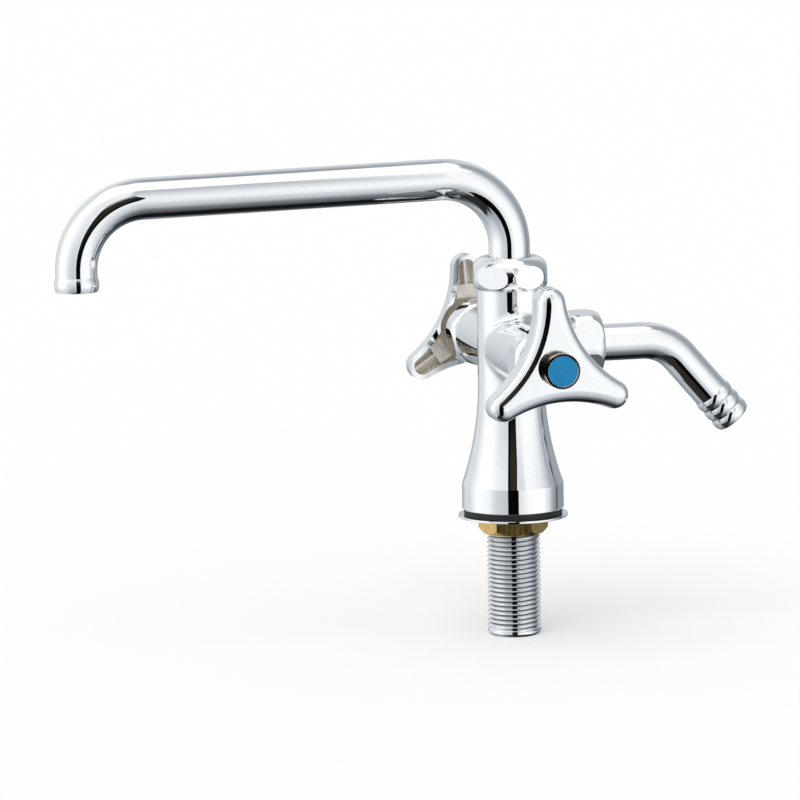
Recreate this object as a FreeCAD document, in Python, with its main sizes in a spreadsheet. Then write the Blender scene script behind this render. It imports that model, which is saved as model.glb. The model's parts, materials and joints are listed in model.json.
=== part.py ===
import FreeCAD, Part
import math
import os
import Sketcher

# Deck tap with a swivel spout, a hose outlet and two screw-down valves.
# Millimetres. +Z is up along the column, and z = 0 is the deck's top surface, under the base gasket.
# The spout points along -X, the hose outlet along +X, the front valve along -Y and the rear one along +Y.

SIZES = {
    # clearances
    "running_gap": 0.05,
    "face_gap": 0.1,
    "loose_gap": 0.3,
    # column
    "column_radius": 13.0,
    "column_height": 88.8,
    "flare_start": 52.0,
    "skirt_radius": 19.85,
    "skirt_height": 10.0,
    "edge_break": 0.5,
    "valve_height": 65.3,
    "socket_depth": 14.0,
    "core_radius": 8.5,
    "core_taper": 6.0,
    "riser_radius": 4.5,
    # base
    "gasket_thickness": 2.0,
    "gasket_radius": 19.2,
    "washer_radius": 21.4,
    "washer_thickness": 0.9,
    "lock_nut_flats": 23.6,
    "lock_nut_height": 6.4,
    "lock_nut_cone": 3.0,
    "shank_radius": 10.4775,
    "shank_bore": 7.5,
    "shank_reach": 47.85,
    "shank_chamfer": 1.0,
    "relief_width": 1.5,
    # valve ports and seats
    "port_radius": 12.0,
    "port_reach": 40.0,
    "port_blend": 4.5,
    "port_neck_radius": 10.5,
    "port_neck_length": 7.5,
    "chamber_radius": 8.0,
    "chamber_floor": 7.0,
    "seat_radius": 3.8,
    "seat_lip_radius": 5.0,
    "seat_lip_height": 1.0,
    "gland_recess_radius": 9.2,
    "gland_recess_depth": 5.5,
    # nuts
    "nut_end_inset": 1.0,
    "nut_end_length": 4.5,
    "crown_inset": 3.5,
    "crown_length": 7.0,
    "crown_foot_inset": 0.7,
    "crown_foot_length": 4.2,
    # valve pieces
    "bonnet_flats": 25.0,
    "bonnet_height": 12.5,
    "bonnet_roof": 3.7,
    "stem_radius": 5.0,
    "stem_reach": 58.6,
    "square_half": 3.0,
    "square_length": 7.2,
    "spindle_foot_radius": 6.4,
    "spindle_foot_length": 5.0,
    "spindle_thread_length": 15.0,
    "jumper_disc_radius": 6.3,
    "jumper_disc_thickness": 2.6,
    "jumper_stem_radius": 2.2,
    "jumper_stem_length": 12.0,
    "jumper_stud_radius": 1.6,
    "jumper_head_radius": 2.6,
    "jumper_head_length": 1.6,
    "disc_washer_radius": 6.1,
    "disc_washer_thickness": 3.0,
    "packing_washer_thickness": 1.2,
    "packing_height": 4.6,
    # handles
    "handle_depth": 10.0,
    "handle_wall": 2.0,
    "handle_face": 2.2,
    "tip_radius": 5.4,
    "tip_centre": 25.1,
    "waist_radius": 13.1,
    "handle_edge": 4.6,
    "hub_radius": 6.6,
    "step_near": 12.4,
    "step_far": 18.0,
    "step_depth": 3.2,
    "boss_place": 15.3,
    "boss_radius": 1.9,
    "boss_height": 0.4,
    "tip_rib": 0.9,
    "cap_radius": 6.6,
    "cap_height": 5.4,
    "cap_rim": 0.75,
    "cap_recess": 1.2,
    "screw_radius": 2.0,
    "screw_length": 8.0,
    "index_dome": 0.3,
    # spout
    "spout_radius": 8.0,
    "pipe_wall": 1.0,
    "spout_reach": 170.0,
    "spout_bend": 26.5,
    "spout_stand": 4.3,
    "spout_leg": 7.8,
    "spout_angle": 1.27,
    "bead_radius": 8.6,
    "bead_height": 5.6,
    "neck_radius": 12.0,
    "neck_length": 8.5,
    "spout_socket_radius": 11.0,
    "spout_socket_depth": 3.8,
    "spout_well_radius": 9.4,
    "spout_well_depth": 5.0,
    "spout_nut_flats": 28.5,
    "spout_nut_height": 12.2,
    "spout_nut_roof": 2.8,
    "packing_length": 5.4,
    "collar_thickness": 2.5,
    # hose outlet
    "hose_radius": 7.2,
    "hose_port_reach": 22.2,
    "hose_neck_length": 7.5,
    "hose_nut_height": 12.8,
    "hose_nut_roof": 3.0,
    "hose_socket_radius": 9.2,
    "hose_socket_depth": 5.5,
    "hose_well_depth": 4.5,
    "hose_corner": 62.4,
    "hose_bend": 19.5,
    "hose_angle": 49.0,
    "hose_leg": 42.8,
    "barb_height": 0.6,
    "barb_pitch": 4.8,
    "barb_count": 3,
}

# A hexagon's width over its corners, and the barrel that its corners are turned down to, both over its flats
HEX_CORNER = 2 / math.sqrt(3)
NUT_BARREL = 1.094


class Size:
    """A dimension with both its value and the spreadsheet formula that gives it."""

    def __init__(self, value, text):
        self.value = float(value)
        self.text = text

    def join(self, sign, other, value):
        return Size(value, f"({self.text} {sign} {other.text})")

    def __add__(self, other):
        other = as_size(other)
        return self.join("+", other, self.value + other.value)

    def __sub__(self, other):
        other = as_size(other)
        return self.join("-", other, self.value - other.value)

    def __mul__(self, other):
        other = as_size(other)
        return self.join("*", other, self.value * other.value)

    def __truediv__(self, other):
        other = as_size(other)
        return self.join("/", other, self.value / other.value)

    def __neg__(self):
        return as_size(0) - self

    __radd__ = __add__
    __rmul__ = __mul__

    def __rsub__(self, other):
        return as_size(other) - self


def as_size(value):
    return value if isinstance(value, Size) else Size(value, repr(float(value)))


def size(name):
    return Size(SIZES[name], f"Sizes.{name}")


def sine(angle):
    return Size(math.sin(math.radians(angle.value)), f"sin({angle.text} * 1deg)")


def cosine(angle):
    return Size(math.cos(math.radians(angle.value)), f"cos({angle.text} * 1deg)")


def tangent(angle):
    return Size(math.tan(math.radians(angle.value)), f"tan({angle.text} * 1deg)")


def polar(radius, degrees):
    """A point at a distance and a fixed angle from the origin."""
    angle = math.radians(degrees)
    return radius * round(math.cos(angle), 12), radius * round(math.sin(angle), 12)


doc = FreeCAD.newDocument("tap")
sheet = doc.addObject("Spreadsheet::Sheet", "Sizes")
for row, (alias, value) in enumerate(SIZES.items(), start=1):
    sheet.set(f"A{row}", alias)
    sheet.set(f"B{row}", str(value))
    sheet.setAlias(f"B{row}", alias)
doc.recompute()

BASE = size("gasket_thickness")
VALVE = size("valve_height")
ZERO = as_size(0)

# How a valve piece's own axis, its local +Z, lies on the tap
FRONT = FreeCAD.Rotation(FreeCAD.Vector(1, 0, 0), 90)
REAR = FreeCAD.Rotation(FreeCAD.Vector(0, 0, 1), 180) * FRONT
SIDE = FreeCAD.Rotation(FreeCAD.Vector(0, 1, 0), FreeCAD.Vector(0, 0, 1), FreeCAD.Vector(1, 0, 0), "XYZ")


# Sketches and features
def new_body(name):
    made = doc.addObject("PartDesign::Body", name)
    made.Label = name
    return made


def bind(thing, entry, length):
    if "Sizes." in length.text:
        thing.setExpression(entry, length.text)


def new_sketch(body, role="XZ_Plane", offset=None):
    sketch = body.newObject("Sketcher::SketchObject", f"{body.Name}_sketch")
    plane = [item for item in body.Origin.OriginFeatures if item.Role == role][0]
    sketch.AttachmentSupport = [(plane, "")]
    sketch.MapMode = "FlatFace"
    if offset is not None:
        sketch.AttachmentOffset = FreeCAD.Placement(FreeCAD.Vector(0, 0, offset.value), FreeCAD.Rotation())
        bind(sketch, "AttachmentOffset.Base.z", offset)
    return sketch


def fix(sketch, kind, length, *where):
    number = sketch.addConstraint(Sketcher.Constraint(kind, *where, length.value))
    bind(sketch, f"Constraints[{number}]", length)


def fix_point(sketch, geometry, end, spot):
    """Ties one point of a sketch to its two coordinates."""
    for kind, axis, length in (("DistanceX", -2, spot[0]), ("DistanceY", -1, spot[1])):
        if length.text == ZERO.text:
            sketch.addConstraint(Sketcher.Constraint("PointOnObject", geometry, end, axis))
        else:
            fix(sketch, kind, length, -1, 1, geometry, end)


def add_side(sketch, start, stop, arc=None):
    """A straight side, or an arc of (radius, side) that bulges to the right (1) or the left (-1)."""
    number = sketch.GeometryCount
    first = FreeCAD.Vector(start[0].value, start[1].value, 0)
    last = FreeCAD.Vector(stop[0].value, stop[1].value, 0)
    if arc is None:
        sketch.addGeometry(Part.LineSegment(first, last), False)
        return 1, 2
    radius, side = arc
    chord = last - first
    left = FreeCAD.Vector(-chord.y, chord.x, 0).normalize()
    centre = (first + last) / 2 + left * side * math.sqrt(radius.value**2 - chord.Length**2 / 4)
    if side < 0:
        first, last = last, first
    angles = [math.atan2(spot.y - centre.y, spot.x - centre.x) for spot in (first, last)]
    circle = Part.Circle(centre, FreeCAD.Vector(0, 0, 1), radius.value)
    sketch.addGeometry(Part.ArcOfCircle(circle, *angles), False)
    fix(sketch, "Radius", radius, number)
    return (1, 2) if side > 0 else (2, 1)


def draw_outline(sketch, points, arcs=None):
    """A closed outline through points, in which arcs names the sides that are bent."""
    arcs = arcs or {}
    first = sketch.GeometryCount
    count = len(points)
    ends = [add_side(sketch, points[i], points[(i + 1) % count], arcs.get(i)) for i in range(count)]
    for i in range(count):
        after = (i + 1) % count
        joined = (first + i, ends[i][1], first + after, ends[after][0])
        sketch.addConstraint(Sketcher.Constraint("Coincident", *joined))
    for i, spot in enumerate(points):
        fix_point(sketch, first + i, ends[i][0], spot)


def draw_path(sketch, points, arcs):
    """An open line through points, in which arcs names the bends."""
    ends = [add_side(sketch, points[i], points[i + 1], arcs.get(i)) for i in range(len(points) - 1)]
    for i in range(len(ends) - 1):
        joined = (i, ends[i][1], i + 1, ends[i + 1][0])
        sketch.addConstraint(Sketcher.Constraint("Coincident", *joined))
    for i, (near, _) in enumerate(ends):
        fix_point(sketch, i, near, points[i])
    fix_point(sketch, len(ends) - 1, ends[-1][1], points[-1])


def draw_circle(sketch, radius, centre=(ZERO, ZERO)):
    middle = FreeCAD.Vector(centre[0].value, centre[1].value, 0)
    number = sketch.addGeometry(Part.Circle(middle, FreeCAD.Vector(0, 0, 1), radius.value), False)
    fix(sketch, "Radius", radius, number)
    fix_point(sketch, number, 3, centre)


def ends_well(feature, cuts):
    """Recomputes, and makes sure that a feature added or took away material."""
    before = feature.BaseFeature.Shape.Volume if feature.BaseFeature else 0.0
    doc.recompute()
    if not feature.isValid():
        raise RuntimeError(f"{feature.Name} failed")
    change = feature.Shape.Volume - before
    if (change > -1e-6) if cuts else (change < 1e-6):
        raise RuntimeError(f"{feature.Name} changed nothing: {change}")
    return feature


def turn(body, points, arcs=None, cuts=False):
    """A solid or a cut turned about the body's own Z axis from a half section of (radius, height)."""
    sketch = new_sketch(body)
    draw_outline(sketch, points, arcs)
    kind = "Groove" if cuts else "Revolution"
    feature = body.newObject(f"PartDesign::{kind}", f"{body.Name}_{kind.lower()}")
    feature.Profile = sketch
    feature.ReferenceAxis = (sketch, ["V_Axis"])
    feature.Angle = 360.0
    return ends_well(feature, cuts)


def push(body, sketch, length, cuts=False, back=False, both=False):
    """A pad or a pocket of a sketch."""
    kind = "Pocket" if cuts else "Pad"
    feature = body.newObject(f"PartDesign::{kind}", f"{body.Name}_{kind.lower()}")
    feature.Profile = sketch
    feature.Length = length.value
    bind(feature, "Length", length)
    feature.Reversed = back
    if both:
        feature.SideType = "Symmetric"
    return ends_well(feature, cuts)


def pipe_along(body, profile, path):
    feature = body.newObject("PartDesign::AdditivePipe", f"{body.Name}_pipe")
    feature.Profile = profile
    feature.Spine = (path, [f"Edge{i + 1}" for i in range(path.GeometryCount)])
    return ends_well(feature, False)


def place(body, rotation=None, height=None):
    body.Placement = FreeCAD.Placement(FreeCAD.Vector(), rotation or FreeCAD.Rotation())
    if height is not None:
        body.setExpression("Placement.Base.z", height.text)
    return body


def ring(name, inner, outer, low, high):
    body = new_body(name)
    turn(body, [(inner, low), (outer, low), (outer, high), (inner, high)])
    return body


# Hexagon nuts
def hexagon(sketch, flats, degrees):
    draw_outline(sketch, [polar(flats * (HEX_CORNER / 2), degrees + 60 * i) for i in range(6)])


def round_corners(body, flats, low, height, top, foot):
    """Turns a nut's corners to a barrel. Each end curves in by its inset over its length, (inset, length)."""
    corner = flats / 2 * NUT_BARREL
    high = low + height
    top_face = flats / 2 - top[0]
    foot_face = flats / 2 - foot[0]
    beyond = flats * HEX_CORNER

    def curve(face, length):
        lean = corner - face
        return (length * length + lean * lean) / (2 * lean), -1

    turn(
        body,
        [
            (top_face, high),
            (corner, high - top[1]),
            (corner, low + foot[1]),
            (foot_face, low),
            (foot_face, low - 1),
            (beyond, low - 1),
            (beyond, high + 1),
            (top_face, high + 1),
        ],
        {0: curve(top_face, top[1]), 2: curve(foot_face, foot[1])},
        cuts=True,
    )


def hexagon_nut(name, flats, low, height, inside, degrees):
    """A hexagon nut about Z from low up, hollowed by a half section."""
    body = new_body(name)
    sketch = new_sketch(body, "XY_Plane", low)
    hexagon(sketch, flats, degrees)
    push(body, sketch, height)
    turn(body, inside, cuts=True)
    return body


def polished_nut(name, flats, low, height, inside, degrees, top, foot):
    """A hexagon nut with barrel-turned corners and curved ends."""
    body = hexagon_nut(name, flats, low, height, inside, degrees)
    round_corners(body, flats, low, height, top, foot)
    return body


def cap_nut_inside(low, height, roof, neck, hole):
    """The hollow of a nut that screws over a neck and closes round a pipe or a stem."""
    thread = neck + size("running_gap")
    ceiling = low + height - roof
    return [
        (ZERO, low - 1),
        (thread, low - 1),
        (thread, ceiling),
        (hole, ceiling),
        (hole, low + height + 1),
        (ZERO, low + height + 1),
    ]


# The cast body
def make_body():
    body = new_body("body")
    rim = BASE + size("skirt_height")
    drop = size("flare_start") - rim
    spread = size("skirt_radius") - size("column_radius")
    flare = (drop * drop + spread * spread) / (2 * spread)
    edge = size("edge_break")
    top = size("column_height")
    neck_top = top + size("neck_length")
    turn(
        body,
        [
            (ZERO, BASE),
            (size("skirt_radius") - edge, BASE),
            (size("skirt_radius"), BASE + edge),
            (size("skirt_radius"), rim),
            (size("column_radius"), size("flare_start")),
            (size("column_radius"), top - edge),
            (size("column_radius") - edge, top),
            (size("neck_radius"), top),
            (size("neck_radius"), neck_top),
            (ZERO, neck_top),
        ],
        {3: (flare, -1)},
    )
    make_ports(body)
    make_waterways(body)
    return body


def make_ports(body):
    hole = (ZERO, VALVE)
    for radius, reach in (
        (size("port_radius"), size("port_reach")),
        (size("port_neck_radius"), size("port_reach") + size("port_neck_length")),
    ):
        sketch = new_sketch(body, "XZ_Plane")
        draw_circle(sketch, radius, hole)
        push(body, sketch, reach * 2, both=True)
    for radius, reach in (
        (size("port_radius"), size("hose_port_reach")),
        (size("port_neck_radius"), size("hose_port_reach") + size("hose_neck_length")),
    ):
        sketch = new_sketch(body, "YZ_Plane")
        draw_circle(sketch, radius, hole)
        block = push(body, sketch, reach)
    blend_ports(body, block)


def blend_ports(body, block):
    """Rounds the corners where the ports run into the column and into each other."""
    names = []
    for number, edge in enumerate(block.Shape.Edges, start=1):
        middle = edge.valueAt((edge.FirstParameter + edge.LastParameter) / 2)
        away = math.hypot(middle.x, middle.y)
        level = abs(middle.z - VALVE.value) < SIZES["port_radius"] + 1
        near = away < SIZES["column_radius"] * 1.45
        if level and near and not isinstance(edge.Curve, (Part.Line, Part.Circle)):
            names.append(f"Edge{number}")
    feature = body.newObject("PartDesign::Fillet", "body_blend")
    feature.Base = (block, names)
    feature.Radius = size("port_blend").value
    bind(feature, "Radius", size("port_blend"))
    ends_well(feature, False)


def make_waterways(body):
    """The supply rises in the middle to the two seats, and each chamber has a way to its own outlet."""
    socket_top = BASE + size("socket_depth")
    taper_top = size("flare_start") - size("loose_gap")
    riser_top = VALVE + size("riser_radius")
    turn(
        body,
        [
            (ZERO, BASE - 1),
            (size("shank_radius") + size("running_gap"), BASE - 1),
            (size("shank_radius") + size("running_gap"), socket_top),
            (size("core_radius"), socket_top),
            (size("core_radius"), taper_top - size("core_taper") * 2),
            (size("riser_radius"), taper_top - size("core_taper")),
            (size("riser_radius"), riser_top),
            (ZERO, riser_top),
        ],
        cuts=True,
    )
    top = size("column_height")
    neck_top = top + size("neck_length")
    well_top = top - size("spout_socket_depth")
    turn(
        body,
        [
            (ZERO, well_top - size("spout_well_depth")),
            (size("spout_well_radius"), well_top - size("spout_well_depth")),
            (size("spout_well_radius"), well_top),
            (size("spout_socket_radius"), well_top),
            (size("spout_socket_radius"), neck_top + 1),
            (ZERO, neck_top + 1),
        ],
        cuts=True,
    )
    bore_valve_ports(body)
    bore_hose_port(body)
    bore_spout_way(body)


def bore_valve_ports(body):
    end = size("port_reach") + size("port_neck_length")
    for side in (1, -1):
        for radius, depth in (
            (size("gland_recess_radius"), size("gland_recess_depth")),
            (size("chamber_radius"), end - size("chamber_floor")),
        ):
            sketch = new_sketch(body, "XZ_Plane", end * side)
            draw_circle(sketch, radius, (ZERO, VALVE))
            push(body, sketch, depth, cuts=True, back=side < 0)
        # a raised lip round the seat's hole
        sketch = new_sketch(body, "XZ_Plane", size("chamber_floor") * side)
        draw_circle(sketch, size("seat_lip_radius"), (ZERO, VALVE))
        push(body, sketch, size("seat_lip_height"), back=side < 0)
    sketch = new_sketch(body, "XZ_Plane")
    draw_circle(sketch, size("seat_radius"), (ZERO, VALVE))
    push(body, sketch, (size("chamber_floor") + size("seat_lip_height")) * 2, cuts=True, both=True)


def bore_hose_port(body):
    """The hose pipe's socket and well, and an offset way from there into the rear chamber."""
    end = size("hose_port_reach") + size("hose_neck_length")
    socket = size("hose_neck_length") + size("hose_socket_depth")
    for radius, depth in (
        (size("hose_socket_radius"), socket),
        (size("hose_radius") + size("loose_gap"), socket + size("hose_well_depth")),
    ):
        sketch = new_sketch(body, "YZ_Plane", end)
        draw_circle(sketch, radius, (ZERO, VALVE))
        push(body, sketch, depth, cuts=True)
    way = (size("column_radius") - size("chamber_floor")) * 0.4
    inner = size("chamber_floor") - way / 2
    sketch = new_sketch(body, "YZ_Plane", end - socket - size("hose_well_depth") / 2)
    draw_circle(sketch, way, (size("chamber_floor") + way / 2, VALVE))
    push(body, sketch, end - socket - size("hose_well_depth") / 2 - inner, cuts=True)


def bore_spout_way(body):
    """A hole off the centre, from the spout's well down into the front chamber."""
    well_floor = size("column_height") - size("spout_socket_depth") - size("spout_well_depth")
    way = (size("column_radius") - size("chamber_floor")) * 0.45
    sketch = new_sketch(body, "XY_Plane", well_floor + size("spout_well_depth") / 2)
    draw_circle(sketch, way, (ZERO, -size("chamber_floor")))
    depth = well_floor + size("spout_well_depth") / 2 - VALVE - size("chamber_radius") + way
    push(body, sketch, depth, cuts=True)


# The base: shank, gasket, washer and lock nut
def lock_nut_foot():
    """The lock nut's underside when it is done up against the washer."""
    return -(size("face_gap") * 2 + size("washer_thickness") + size("lock_nut_height"))


def make_shank():
    """The threaded tube. A relief parts its supply thread from the stretch under the lock nut."""
    body = new_body("shank")
    low = -size("shank_reach")
    top = BASE + size("socket_depth") - size("face_gap")
    chamfer = size("shank_chamfer")
    radius = size("shank_radius")
    relief = lock_nut_foot() - size("face_gap")
    turn(
        body,
        [
            (size("shank_bore"), low),
            (radius - chamfer, low),
            (radius, low + chamfer),
            (radius, relief),
            (radius - chamfer, relief),
            (radius - chamfer, relief + size("relief_width")),
            (radius, relief + size("relief_width")),
            (radius, top - chamfer),
            (radius - chamfer, top),
            (size("shank_bore"), top),
        ],
    )


def make_base_rings():
    hole = size("shank_radius") + size("loose_gap")
    ring("base_gasket", hole, size("gasket_radius"), ZERO, BASE)
    under = -size("face_gap")
    edge = size("edge_break") / 4
    washer = new_body("deck_washer")
    foot = under - size("washer_thickness")
    rim = size("washer_radius")
    turn(
        washer,
        [
            (hole, foot),
            (rim - edge, foot),
            (rim, foot + edge),
            (rim, under - edge),
            (rim - edge, under),
            (hole, under),
        ],
    )
    low = lock_nut_foot()
    bore = size("shank_radius") + size("running_gap")
    lead = size("edge_break")
    high = low + size("lock_nut_height")
    inside = [
        (ZERO, low - 1),
        (bore + lead + 1, low - 1),
        (bore, low + lead),
        (bore, high - lead),
        (bore + lead + 1, high + 1),
        (ZERO, high + 1),
    ]
    made = hexagon_nut("lock_nut", size("lock_nut_flats"), low, size("lock_nut_height"), inside, -74)
    face = size("lock_nut_flats") / 2
    corner = size("lock_nut_flats") * (HEX_CORNER / 2)
    rise = size("lock_nut_cone")
    turn(made, [(face, low), (face, low - 1), (corner + 1, low - 1), (corner + 1, low + rise)], cuts=True)


# The swivel spout
def spout_bends():
    """The centres of the spout's two bends, in the XZ plane. The straight run slopes down to the outlet."""
    bend = size("spout_bend")
    start = size("column_height") + size("spout_nut_height") + size("spout_stand")
    between = size("spout_reach") - bend * 2
    return (-bend, start), (-bend - between, start - between * tangent(size("spout_angle")))


def spout_outlet():
    """The height of the outlet's end."""
    return spout_bends()[1][1] - size("spout_leg")


def draw_spout_line(sketch, foot):
    bend = size("spout_bend")
    slope = size("spout_angle")
    first, last = spout_bends()
    reach = size("spout_reach")
    up = (-bend * sine(slope), bend * cosine(slope))
    points = [
        (ZERO, foot),
        (ZERO, first[1]),
        (first[0] + up[0], first[1] + up[1]),
        (last[0] + up[0], last[1] + up[1]),
        (-reach, last[1]),
        (-reach, spout_outlet()),
    ]
    draw_path(sketch, points, {1: (bend, 1), 3: (bend, 1)})


def make_spout():
    body = new_body("spout_pipe")
    radius = size("spout_radius")
    well_top = size("column_height") - size("spout_socket_depth")
    foot = well_top - size("spout_well_depth") / 2
    path = new_sketch(body)
    draw_spout_line(path, foot)
    profile = new_sketch(body, "XY_Plane", foot)
    draw_circle(profile, radius)
    draw_circle(profile, radius - size("pipe_wall"))
    pipe_along(body, profile, path)
    # brazed collar that the slip ring holds down
    collar = new_sketch(body, "XY_Plane", well_top + size("packing_length") + size("loose_gap"))
    draw_circle(collar, radius - size("pipe_wall") / 2)
    draw_circle(collar, size("spout_socket_radius") - size("loose_gap"))
    push(body, collar, size("collar_thickness"))
    # rolled bead round the outlet
    low = spout_outlet()
    height = size("bead_height")
    inner = radius - size("pipe_wall")
    bulge = size("bead_radius") - radius
    reach = size("spout_reach")
    sketch = new_sketch(body)
    draw_outline(
        sketch,
        [
            (inner - reach, low),
            (radius - reach, low),
            (radius - reach, low + height),
            (inner - reach, low + height),
        ],
        {1: ((height * height / 4 + bulge * bulge) / (2 * bulge), 1)},
    )
    foot = FreeCAD.Vector(-reach.value, 0, 0)
    line = sketch.addGeometry(Part.LineSegment(foot, FreeCAD.Vector(-reach.value, low.value, 0)), True)
    fix_point(sketch, line, 1, (-reach, ZERO))
    fix_point(sketch, line, 2, (-reach, low))
    feature = body.newObject("PartDesign::Revolution", "spout_bead")
    feature.Profile = sketch
    feature.ReferenceAxis = (sketch, ["Axis0"])
    feature.Angle = 360.0
    ends_well(feature, False)


def make_spout_fittings():
    pipe = size("spout_radius") + size("running_gap")
    socket = size("spout_socket_radius") - size("running_gap")
    well_top = size("column_height") - size("spout_socket_depth")
    ring("spout_packing", pipe, socket, well_top, well_top + size("packing_length"))
    top = size("column_height")
    ceiling = top + size("spout_nut_height") - size("spout_nut_roof")
    collar_top = well_top + size("packing_length") + size("loose_gap") + size("collar_thickness")
    ring("spout_slip_ring", pipe, socket, collar_top + size("loose_gap"), ceiling)
    hole = size("spout_radius") + size("loose_gap")
    height = size("spout_nut_height")
    inside = cap_nut_inside(top, height, size("spout_nut_roof"), size("neck_radius"), hole)
    crown = (size("crown_inset"), size("crown_length"))
    rim = (size("crown_foot_inset"), size("crown_foot_length"))
    polished_nut("spout_nut", size("spout_nut_flats"), top, height, inside, -102, crown, rim)


# The hose outlet, built about its local Z, which lies along +X
def make_hose_pipe():
    body = new_body("hose_pipe")
    radius = size("hose_radius")
    end = size("hose_port_reach") - size("hose_socket_depth")
    foot = end - size("hose_well_depth") / 2
    corner = size("hose_corner")
    back = size("hose_bend") * tangent(size("hose_angle") / 2)
    drop = size("hose_angle")
    leg = size("hose_leg")
    # in this sketch local x is measured downwards, since the whole piece is turned about its axis
    points = [
        (ZERO, foot),
        (ZERO, corner - back),
        (back * sine(drop), corner + back * cosine(drop)),
        (leg * sine(drop), corner + leg * cosine(drop)),
    ]
    path = new_sketch(body)
    draw_path(path, points, {1: (size("hose_bend"), -1)})
    profile = new_sketch(body, "XY_Plane", foot)
    draw_circle(profile, radius)
    draw_circle(profile, radius - size("pipe_wall"))
    pipe_along(body, profile, path)
    collar = new_sketch(body, "XY_Plane", end + size("packing_length") + size("loose_gap"))
    draw_circle(collar, radius - size("pipe_wall") / 2)
    draw_circle(collar, size("hose_socket_radius") - size("loose_gap"))
    push(body, collar, size("collar_thickness"))
    make_barbs(body, points[-1])
    return place(body, SIDE * FreeCAD.Rotation(FreeCAD.Vector(0, 0, 1), 180 + 90), VALVE)


def make_barbs(body, tip):
    """Three rounded ridges round the pipe's open end, turned about its slanted centre line."""
    drop = size("hose_angle")
    radius = size("hose_radius")
    high = size("barb_height")
    pitch = size("barb_pitch")
    inner = radius - size("pipe_wall") / 2
    for number in range(int(SIZES["barb_count"])):
        sketch = new_sketch(body)
        slant = FreeCAD.Rotation(FreeCAD.Vector(0, 0, -1), drop.value)
        sketch.AttachmentOffset = FreeCAD.Placement(FreeCAD.Vector(tip[0].value, tip[1].value, 0), slant)
        bind(sketch, "AttachmentOffset.Base.x", tip[0])
        bind(sketch, "AttachmentOffset.Base.y", tip[1])
        sketch.setExpression("AttachmentOffset.Rotation.Angle", f"{drop.text} * 1deg")
        top = -(pitch * number)
        low = top - pitch * 0.92
        chord = pitch * 0.92
        bulge = (chord * chord / 4 + high * high) / (2 * high)
        draw_outline(
            sketch,
            [(inner, low), (radius, low), (radius, top), (inner, top)],
            {1: (bulge, 1)},
        )
        feature = body.newObject("PartDesign::Revolution", "hose_barb")
        feature.Profile = sketch
        feature.ReferenceAxis = (sketch, ["V_Axis"])
        feature.Angle = 360.0
        ends_well(feature, False)


def make_hose_fittings():
    end = size("hose_port_reach") - size("hose_socket_depth")
    pipe = size("hose_radius") + size("running_gap")
    socket = size("hose_socket_radius") - size("running_gap")
    place(ring("hose_packing", pipe, socket, end, end + size("packing_length")), SIDE, VALVE)
    low = size("hose_port_reach")
    height = size("hose_nut_height")
    ceiling = low + height - size("hose_nut_roof")
    collar_top = end + size("packing_length") + size("loose_gap") + size("collar_thickness")
    place(ring("hose_slip_ring", pipe, socket, collar_top + size("loose_gap"), ceiling), SIDE, VALVE)
    hole = size("hose_radius") + size("loose_gap")
    inside = cap_nut_inside(low, height, size("hose_nut_roof"), size("port_neck_radius"), hole)
    outer = (size("nut_end_inset") / 2, size("nut_end_length"))
    inner = (size("nut_end_inset"), size("nut_end_length"))
    nut = polished_nut("hose_nut", size("bonnet_flats"), low, height, inside, 5, outer, inner)
    place(nut, SIDE, VALVE)


# One screw-down valve, built about its local Z and placed at the front or at the rear
def seat_face():
    return size("chamber_floor") + size("seat_lip_height") + size("face_gap")


def jumper_top():
    return seat_face() + size("disc_washer_thickness") + size("jumper_disc_thickness")


def spindle_foot():
    return jumper_top() + size("face_gap")


def make_jumper(side, turned):
    """The valve plate: a disc with a guide stem behind it and a stud that holds the rubber in front."""
    body = new_body(f"{side}_jumper")
    low = seat_face()
    plate = low + size("disc_washer_thickness")
    stud = size("jumper_stud_radius")
    turn(
        body,
        [
            (ZERO, low - size("jumper_head_length")),
            (size("jumper_head_radius"), low - size("jumper_head_length")),
            (size("jumper_head_radius"), low),
            (stud, low),
            (stud, plate),
            (size("jumper_disc_radius"), plate),
            (size("jumper_disc_radius"), jumper_top()),
            (size("jumper_stem_radius"), jumper_top()),
            (size("jumper_stem_radius"), jumper_top() + size("jumper_stem_length")),
            (ZERO, jumper_top() + size("jumper_stem_length")),
        ],
    )
    place(body, turned, VALVE)
    gap = size("running_gap")
    place(ring(f"{side}_jumper_washer", stud + gap, size("disc_washer_radius"), low, plate), turned, VALVE)


def make_spindle(side, spun):
    body = new_body(f"{side}_spindle")
    low = spindle_foot()
    thread_low = low + size("spindle_foot_length")
    thread_high = thread_low + size("spindle_thread_length")
    reach = size("stem_reach")
    stem = size("stem_radius")
    edge = size("edge_break")
    turn(
        body,
        [
            (ZERO, low),
            (size("spindle_foot_radius"), low),
            (size("spindle_foot_radius"), thread_low),
            (size("chamber_radius") - size("running_gap"), thread_low),
            (size("chamber_radius") - size("running_gap"), thread_high),
            (stem, thread_high),
            (stem, reach - edge),
            (stem - edge, reach),
            (ZERO, reach),
        ],
    )
    square = new_sketch(body, "XY_Plane", reach)
    half = size("square_half")
    draw_outline(square, [(half, half), (-half, half), (-half, -half), (half, -half)])
    push(body, square, size("square_length"))
    guide = new_sketch(body, "XY_Plane", low)
    draw_circle(guide, size("jumper_stem_radius") + size("running_gap"))
    push(body, guide, size("jumper_stem_length") + size("loose_gap") + 1, cuts=True, back=True)
    tapped = new_sketch(body, "XY_Plane", reach + size("square_length"))
    draw_circle(tapped, size("screw_radius") + size("running_gap"))
    push(body, tapped, size("screw_length"), cuts=True)
    place(body, spun, VALVE)


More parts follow.
